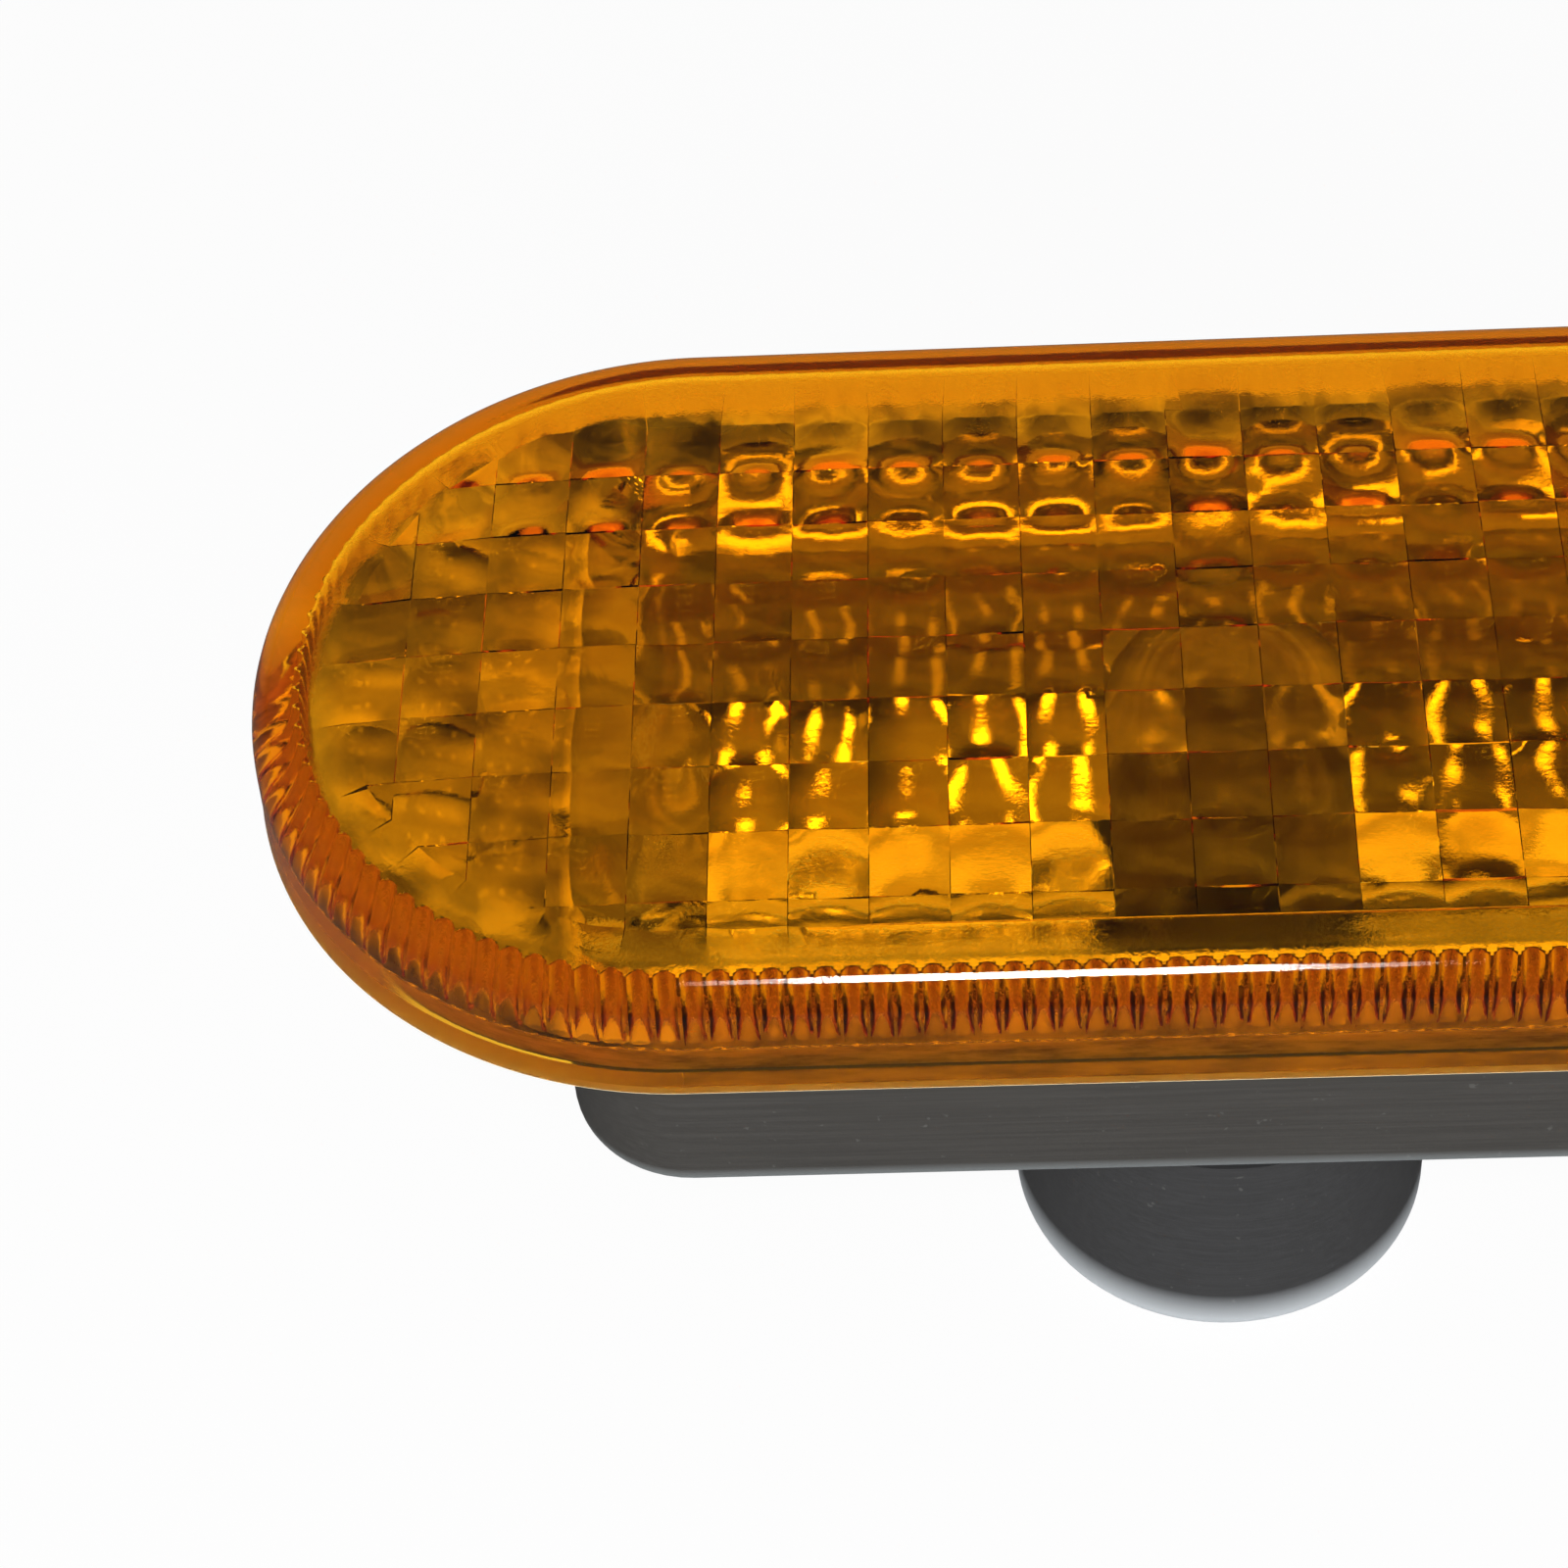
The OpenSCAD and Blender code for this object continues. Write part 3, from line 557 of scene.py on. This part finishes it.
def painted_sheen_band(tree, low, high):
    """A soft band round a piece between two levels in mm, strongest near the lower one, which
    masks a painted highlight.
    """
    level = add(tree, "ShaderNodeMapRange")
    level.inputs["From Min"].default_value = low * MM
    level.inputs["From Max"].default_value = high * MM
    tree.links.new(position(tree).outputs["Z"], level.inputs["Value"])
    return ramp(tree, level.outputs[0], [(0.0, 0.0), (0.25, 0.9), (0.5, 0.55), (1.0, 0.0)])


def satin_plastic(name, dark, pale, band, sheen_colour, coat_level=None):
    """Moulded plastic with fine scratches along the lamp, pale specks and a painted highlight
    along its lower edge, standing in for the white floor reflected there.
    """
    material, tree, shader = new_material(name)
    scratch = noise_tex(tree, 1.2, stretch=(0.12, 3, 6), detail=8, rough=0.7)
    cloud = noise_tex(tree, 0.25)
    speck = noise_tex(tree, 2.4, detail=2)
    mix = add(tree, "ShaderNodeMix", data_type="RGBA", blend_type="MIX")
    mix.inputs[6].default_value = (*dark, 1)
    mix.inputs[7].default_value = (*pale, 1)
    tree.links.new(ramp(tree, scratch.outputs["Fac"], [(0.42, 0.0), (0.72, 0.6)]), mix.inputs[0])
    spots = add(tree, "ShaderNodeMix", data_type="RGBA", blend_type="MIX")
    tree.links.new(ramp(tree, speck.outputs["Fac"], [(0.70, 0.0), (0.76, 0.35)]), spots.inputs[0])
    tree.links.new(mix.outputs[2], spots.inputs[6])
    spots.inputs[7].default_value = (0.16, 0.16, 0.15, 1)
    # Painted highlight: a pale band along the lower edge, in place of the floor's reflection in
    # the rounded edge.
    edge = add(tree, "ShaderNodeMix", data_type="RGBA", blend_type="MIX")
    tree.links.new(painted_sheen_band(tree, *band), edge.inputs[0])
    tree.links.new(spots.outputs[2], edge.inputs[6])
    edge.inputs[7].default_value = (*sheen_colour, 1)
    tree.links.new(edge.outputs[2], shader.inputs["Base Color"])
    tree.links.new(ramp(tree, cloud.outputs["Fac"], [(0.3, 0.36), (0.7, 0.5)]),
                   shader.inputs["Roughness"])
    normal = bump(tree, scratch.outputs["Fac"], 0.25, 0.00002)
    tree.links.new(normal, shader.inputs["Normal"])
    shader.inputs["Specular IOR Level"].default_value = 0.5
    if coat_level:
        coated_above(tree, shader, coat_level)
    return material


def mirror_coat():
    """Sprayed mirror metal, with painted shade on the brim at the ends and on the far side: the
    base colour turns dark and patchy there.
    """
    material, tree, shader = new_material("mirror_coat")
    split = position(tree)
    along = add(tree, "ShaderNodeMath", operation="ABSOLUTE")
    tree.links.new(split.outputs["X"], along.inputs[0])
    shade_bands = []
    for axis, (start, stop) in ((split.outputs["Y"], SHADE_FAR), (along.outputs[0], SHADE_END)):
        brim = add(tree, "ShaderNodeMapRange")
        brim.inputs["From Min"].default_value = start * MM
        brim.inputs["From Max"].default_value = stop * MM
        tree.links.new(axis, brim.inputs["Value"])
        shade_bands.append(brim.outputs[0])
    # Painted shade: the brim bands at the far side and at the ends, where the mirror's colour is
    # darkened.
    painted_shade = add(tree, "ShaderNodeMath", operation="MAXIMUM")
    tree.links.new(shade_bands[0], painted_shade.inputs[0])
    tree.links.new(shade_bands[1], painted_shade.inputs[1])
    # Dark patchy colour of the painted shade.
    shade_patches = noise_tex(tree, 0.3, detail=2)
    mix = add(tree, "ShaderNodeMix", data_type="RGBA", blend_type="MIX")
    tree.links.new(painted_shade.outputs[0], mix.inputs[0])
    mix.inputs[6].default_value = (0.86, 0.86, 0.85, 1)
    tree.links.new(ramp(tree, shade_patches.outputs["Fac"], SHADE_PATCH_STOPS), mix.inputs[7])
    tree.links.new(mix.outputs[2], shader.inputs["Base Color"])
    shader.inputs["Metallic"].default_value = 1
    cloud = noise_tex(tree, 0.5)
    tree.links.new(ramp(tree, cloud.outputs["Fac"], [(0.3, 0.02), (0.7, 0.04)]),
                   shader.inputs["Roughness"])
    shader.inputs["Coat Weight"].default_value = 0.6
    shader.inputs["Coat Roughness"].default_value = 0.03
    peel = noise_tex(tree, 0.8, detail=3)
    tree.links.new(bump(tree, peel.outputs["Fac"], 0.2, 0.00003), shader.inputs["Normal"])
    return material


def plain(name, colour, metallic=0.0, low=0.3, high=0.45, scale=1.0, transmission=0.0):
    """A finish with a slight cloud in its gloss and a fine grain."""
    material, tree, shader = new_material(name)
    cloud = noise_tex(tree, scale)
    dull = tuple(0.82 * c for c in colour)
    tree.links.new(ramp(tree, cloud.outputs["Fac"], [(0.3, dull), (0.7, colour)]),
                   shader.inputs["Base Color"])
    shader.inputs["Metallic"].default_value = metallic
    shader.inputs["Transmission Weight"].default_value = transmission
    tree.links.new(ramp(tree, cloud.outputs["Fac"], [(0.3, low), (0.7, high)]),
                   shader.inputs["Roughness"])
    grain = noise_tex(tree, 8 * scale)
    tree.links.new(bump(tree, grain.outputs["Fac"], 0.2, 0.00001), shader.inputs["Normal"])
    return material


# Studio
CAMERA_AT = (-7.970, -97.451, 112.926)
CAMERA_TURN = (40.116, 3.135, -1.718)
CAMERA_LENS = 95.20
FLOOR_Z = -27.5
FLOOR_GLOW = 0.93
WORLD_LOW, WORLD_TOP, GLOSS_LOW, GLOSS_TOP = 0.18, 0.2, 0.07, 0.05
THROUGH_TOP, THROUGH_BACK = 0.07, 1.4
THROUGH_ABOVE, THROUGH_SIDES = 0.7, 0.5
SPOT_ACROSS, SPOT_BACK, SPOT_R, SPOT_GLOW = 0.06, 0.09, 0.011, 14
HORIZON_SPAN, NEAR_DIM_SPAN = (0.25, 0.6), (-0.4, 0.0)
PANEL_SPAN, PANEL_SIDE_SPAN, SIDES_SPAN = (0.45, 0.62), (0.5, 0.8), (0.25, 0.5)
ABOVE_FAR, ABOVE_NEAR = (0.28, 0.38), (-0.36, -0.26)
ABOVE_RIGHT, ABOVE_LEFT = (0.0, 0.08), (-0.22, -0.14)
FOLDS_SPAN = (0.43, 0.57)
FLOOR_HALF = 1500


def add_camera():
    """The camera fitted to the photo."""
    data = bpy.data.cameras.new("photo_camera")
    data.lens, data.sensor_width, data.clip_start = CAMERA_LENS, 36, 0.01
    camera = bpy.data.objects.new("photo_camera", data)
    bpy.context.scene.collection.objects.link(camera)
    turn = Matrix.Identity(4)
    for angle, axis in zip(CAMERA_TURN, "XYZ"):
        turn = turn @ Matrix.Rotation(math.radians(angle), 4, axis)
    camera.matrix_world = Matrix.Translation(Vector(CAMERA_AT) * MM) @ turn
    bpy.context.scene.camera = camera


def add_floor():
    """A white floor that glows only to the camera and through the lens."""
    bm = bmesh.new()
    bmesh.ops.create_grid(bm, x_segments=1, y_segments=1, size=FLOOR_HALF)
    bmesh.ops.translate(bm, verts=bm.verts, vec=(0, 0, FLOOR_Z))
    bmesh.ops.scale(bm, vec=(MM, MM, MM), verts=bm.verts)
    mesh = bpy.data.meshes.new("white_floor")
    bm.to_mesh(mesh)
    bm.free()
    floor = bpy.data.objects.new("white_floor", mesh)
    bpy.context.scene.collection.objects.link(floor)
    material, tree, shader = new_material("white_sweep")
    tree.nodes.remove(shader)
    sheet = add(tree, "ShaderNodeBsdfDiffuse")
    glow = add(tree, "ShaderNodeEmission", Color=(1, 1, 1, 1), Strength=1)
    path = add(tree, "ShaderNodeLightPath")
    seen = add(tree, "ShaderNodeMath", operation="MAXIMUM")
    part = add(tree, "ShaderNodeMath", operation="MULTIPLY")
    part.inputs[1].default_value = FLOOR_GLOW
    shade = add(tree, "ShaderNodeMix", data_type="RGBA")
    shade.inputs[6].default_value = (0.9, 0.9, 0.9, 1)
    shade.inputs[7].default_value = (0.12, 0.12, 0.12, 1)
    tree.links.new(path.outputs["Is Glossy Ray"], shade.inputs[0])
    tree.links.new(shade.outputs[2], sheet.inputs["Color"])
    tree.links.new(path.outputs["Is Camera Ray"], seen.inputs[0])
    tree.links.new(path.outputs["Is Transmission Ray"], seen.inputs[1])
    tree.links.new(seen.outputs[0], part.inputs[0])
    mix = add(tree, "ShaderNodeMixShader")
    tree.links.new(part.outputs[0], mix.inputs[0])
    tree.links.new(sheet.outputs[0], mix.inputs[1])
    tree.links.new(glow.outputs[0], mix.inputs[2])
    tree.links.new(mix.outputs[0], tree.nodes["Material Output"].inputs["Surface"])
    mesh.materials.append(material)


def add_world():
    """Even light, with one room for glossy rays and another for rays through the lens."""
    world = bpy.data.worlds.new("studio")
    bpy.context.scene.world = world
    world.use_nodes = True
    tree = world.node_tree
    back = tree.nodes["Background"]
    back.inputs["Color"].default_value = (1, 1, 1, 1)
    coord = add(tree, "ShaderNodeTexCoord")
    split = add(tree, "ShaderNodeSeparateXYZ")
    tree.links.new(coord.outputs["Generated"], split.inputs[0])
    path = add(tree, "ShaderNodeLightPath")

    def reach(axis, start, stop, low, high):
        """A level that changes with the direction along one axis."""
        curve = add(tree, "ShaderNodeMapRange", interpolation_type="SMOOTHSTEP")
        for name, value in (("From Min", start), ("From Max", stop),
                            ("To Min", low), ("To Max", high)):
            curve.inputs[name].default_value = value
        tree.links.new(axis, curve.inputs["Value"])
        return curve.outputs[0]

    def height_curve(horizon, overhead):
        """One level at the horizon and another overhead."""
        return reach(split.outputs["Z"], *HORIZON_SPAN, horizon, overhead)

    def combine(operation, first, second):
        """One step of arithmetic on two values or outputs."""
        node = add(tree, "ShaderNodeMath", operation=operation)
        for socket, value in zip(node.inputs, (first, second)):
            if isinstance(value, (int, float)):
                socket.default_value = value
            else:
                tree.links.new(value, socket)
        return node.outputs[0]

    def spot_row(axis, step):
        """How far a direction is, along one axis, from the nearest small lamp of a row."""
        turn = combine("FRACT", combine("DIVIDE", axis, step), 0)
        return combine("MULTIPLY", combine("SUBTRACT", turn, 0.5), step)

    def room_through():
        """What is seen through the lens: a bright horizon, a panel behind and above, rows of
        small lamps over it, and a dim rest."""
        across, back, up = (split.outputs[axis] for axis in "XYZ")
        width = combine("ABSOLUTE", across, 0)
        panel = reach(back, *PANEL_SPAN, THROUGH_TOP, THROUGH_BACK)
        panel = combine("MULTIPLY", panel, reach(width, *PANEL_SIDE_SPAN, 1.0, 0.5))
        above = combine("MULTIPLY", reach(back, *ABOVE_FAR, 1.0, 0.0),
                        reach(back, *ABOVE_NEAR, 0.0, 1.0))
        above = combine("MULTIPLY", above, reach(across, *ABOVE_RIGHT, THROUGH_ABOVE, 0.14))
        above = combine("MULTIPLY", above, reach(across, *ABOVE_LEFT, 0.3, 1.0))
        panel = combine("MAXIMUM", panel, above)
        panel = combine("MAXIMUM", panel, reach(width, *SIDES_SPAN, 0.0, THROUGH_SIDES))
        folds = add(tree, "ShaderNodeTexNoise", Scale=2.6, Detail=0)
        tree.links.new(coord.outputs["Generated"], folds.inputs["Vector"])
        panel = combine("MULTIPLY", panel, reach(folds.outputs["Fac"], *FOLDS_SPAN, 0.6, 1.2))
        horizon = combine("MULTIPLY", height_curve(1.0, 0.0),
                          reach(back, *NEAR_DIM_SPAN, 0.5, 1.0))
        gap = combine("POWER", spot_row(across, SPOT_ACROSS), 2)
        gap = combine("ADD", gap, combine("POWER", spot_row(back, SPOT_BACK), 2))
        spots = reach(combine("SQRT", gap, 0), 0.6 * SPOT_R, SPOT_R, SPOT_GLOW, 0.0)
        spots = combine("MULTIPLY", spots, reach(width, 0.22, 0.26, 1.0, 0.0))
        spots = combine("MULTIPLY", spots, reach(across, -0.13, -0.10, 0.05, 1.0))
        spots = combine("MULTIPLY", spots, reach(across, 0.02, 0.06, 1.0, 0.4))
        spots = combine("MULTIPLY", spots, reach(back, -0.44, -0.36, 0.05, 1.0))
        spots = combine("MULTIPLY", spots, reach(back, 0.35, 0.45, 1.0, 0.06))
        spots = combine("MULTIPLY", spots, reach(up, 0.55, 0.6, 0.0, 1.0))
        return combine("ADD", combine("MAXIMUM", horizon, panel), spots)

    strength = height_curve(WORLD_LOW, WORLD_TOP)
    for kind, value in (("Is Glossy Ray", height_curve(GLOSS_LOW, GLOSS_TOP)),
                        ("Is Transmission Ray", room_through()),
                        ("Is Camera Ray", None)):
        mix = add(tree, "ShaderNodeMix", data_type="FLOAT")
        tree.links.new(path.outputs[kind], mix.inputs[0])
        tree.links.new(strength, mix.inputs[2])
        mix.inputs[3].default_value = 1.0
        if value:
            tree.links.new(value, mix.inputs[3])
        strength = mix.outputs[0]
    tree.links.new(strength, back.inputs["Strength"])


def add_lamp(name, tilt, side, distance, size_x, size_y, power, seen_in=""):
    """A flat soft lamp aimed at the lens. Tilt is from upright towards the camera's side, and
    seen_in may name gloss, for reflections, or glass, for rays through the lens."""
    data = bpy.data.lights.new(name, "AREA")
    data.shape, data.size, data.size_y, data.energy = "RECTANGLE", size_x, size_y, power
    lamp = bpy.data.objects.new(name, data)
    bpy.context.scene.collection.objects.link(lamp)
    a, b = math.radians(tilt), math.radians(side)
    way = Vector((math.sin(b) * math.cos(a), -math.sin(a) * math.cos(b),
                  math.cos(a) * math.cos(b)))
    lamp.location = way.normalized() * distance
    lamp.rotation_euler = way.to_track_quat("Z", "Y").to_euler()
    lamp.visible_glossy = "gloss" in seen_in
    lamp.visible_transmission = "glass" in seen_in


bpy.context.scene.view_settings.view_transform = "Standard"
add_camera()
add_floor()
add_world()
add_lamp("front_lamp", 38.4, -0.4, 0.5, 0.068, 0.085, 1.35, "gloss")
add_lamp("front_lamp_glow", 38.4, -0.2, 0.52, 0.11, 0.06, 0.2, "gloss")
add_lamp("front_softbox", 65, 0, 0.6, 0.6, 0.25, 1.75)
add_lamp("low_strip", 64, -4, 0.6, 0.25, 0.04, 0.12, "glass")

make_lens(amber_plastic())
make_reflector(mirror_coat())
# The housing's pale grey lower band is a painted highlight.
dark = satin_plastic("dark_plastic", (0.050, 0.047, 0.043), (0.080, 0.076, 0.070),
                     (-10.0, -8.9), (0.30, 0.33, 0.34), 0.05 * MM)
dressed_copy("housing", "tub_housing", dark)
# The holder's pale bluish foot is a painted highlight on its rounded end.
holder = satin_plastic("holder_plastic", (0.042, 0.042, 0.043), (0.064, 0.064, 0.067),
                       (-27.8, -24.9), (0.75, 0.80, 0.84))
dressed_copy("bulb_holder", "round_holder", holder)
rubber = plain("seal_rubber", (0.03, 0.03, 0.03), low=0.5, high=0.7)
dressed_copy("holder_seal", "neck_seal", rubber)
glass = plain("clear_glass", (0.98, 0.99, 0.99), low=0.05, high=0.12, transmission=0.92)
dressed_copy("bulb_glass", "wedge_bulb", glass)
coil = plain("coil_wire", (0.3, 0.3, 0.31), metallic=1)
dressed_copy("bulb_filament", "coil", coil)
lead = plain("lead_wire", (0.6, 0.58, 0.55), metallic=1)
brass = plain("contact_brass", (0.8, 0.68, 0.38), metallic=1)
for side in ("left", "right"):
    dressed_copy("bulb_lead_" + side, "lead_" + side, lead)
    dressed_copy("terminal_" + side, "contact_" + side, brass)
